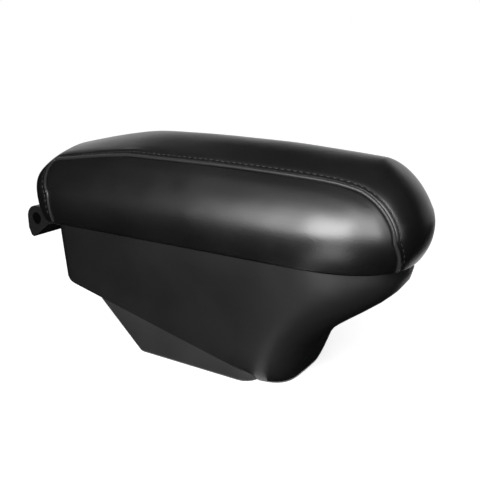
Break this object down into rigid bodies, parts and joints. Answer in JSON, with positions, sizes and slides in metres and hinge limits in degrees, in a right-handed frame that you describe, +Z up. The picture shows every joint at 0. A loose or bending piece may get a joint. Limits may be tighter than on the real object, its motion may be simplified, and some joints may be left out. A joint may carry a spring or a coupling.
{
  "type": "car centre armrest",
  "caption": "Car centre armrest: flared storage body on a wedge foot, with a rear-hinged padded lid covered in piped leather cloth.",
  "frame": {"origin": "on the ground under the middle of the part's bounding box", "axes": "+X to the rounded front nose, away from the hinge; +Y to the left seen from behind; +Z up"},
  "size_m": [0.3425, 0.114, 0.1708],
  "materials": {
    "shell_plastic": "satin black moulded plastic with a fine grain",
    "foot_plastic": "satin dark grey moulded plastic",
    "liner_plastic": "fine grained black plastic",
    "felt": "dark needle felt",
    "zinc_steel": "zinc plated",
    "pin_steel": "ground steel",
    "rubber": "soft black rubber",
    "magnet": "nickel plated magnet",
    "bush": "natural acetal",
    "foam": "open cell foam",
    "leather": "fine grained black leather cloth",
    "welt": "black leather cloth over cord"
  },
  "bodies": {
    "base": {"body_shell": "shell_plastic", "foot_base": "foot_plastic", "foot_screws": "zinc_steel", "bin_liner": "liner_plastic", "bin_mat": "felt", "liner_screws": "zinc_steel", "hinge_bracket": "shell_plastic", "bracket_screws": "zinc_steel", "hinge_pin": "pin_steel", "pin_retainer": "zinc_steel", "bump_stops": "rubber", "catch_magnet": "magnet"},
    "lid": {"lid_panel": "liner_plastic", "lid_carrier": "liner_plastic", "foam_pad": "foam", "top_cover": "leather", "side_cover_near": "leather", "side_cover_far": "leather", "welt_near": "welt", "welt_far": "welt", "striker_plate": "pin_steel", "lid_screws": "zinc_steel", "hinge_bushes": "bush"}
  },
  "joints": [
    {"name": "lid_hinge", "type": "hinge", "parent": "base", "child": "lid", "pos_m": [-0.16025, 0, 0.092], "axis": [0, -1, 0], "range_deg": [0, 95]}
  ]
}
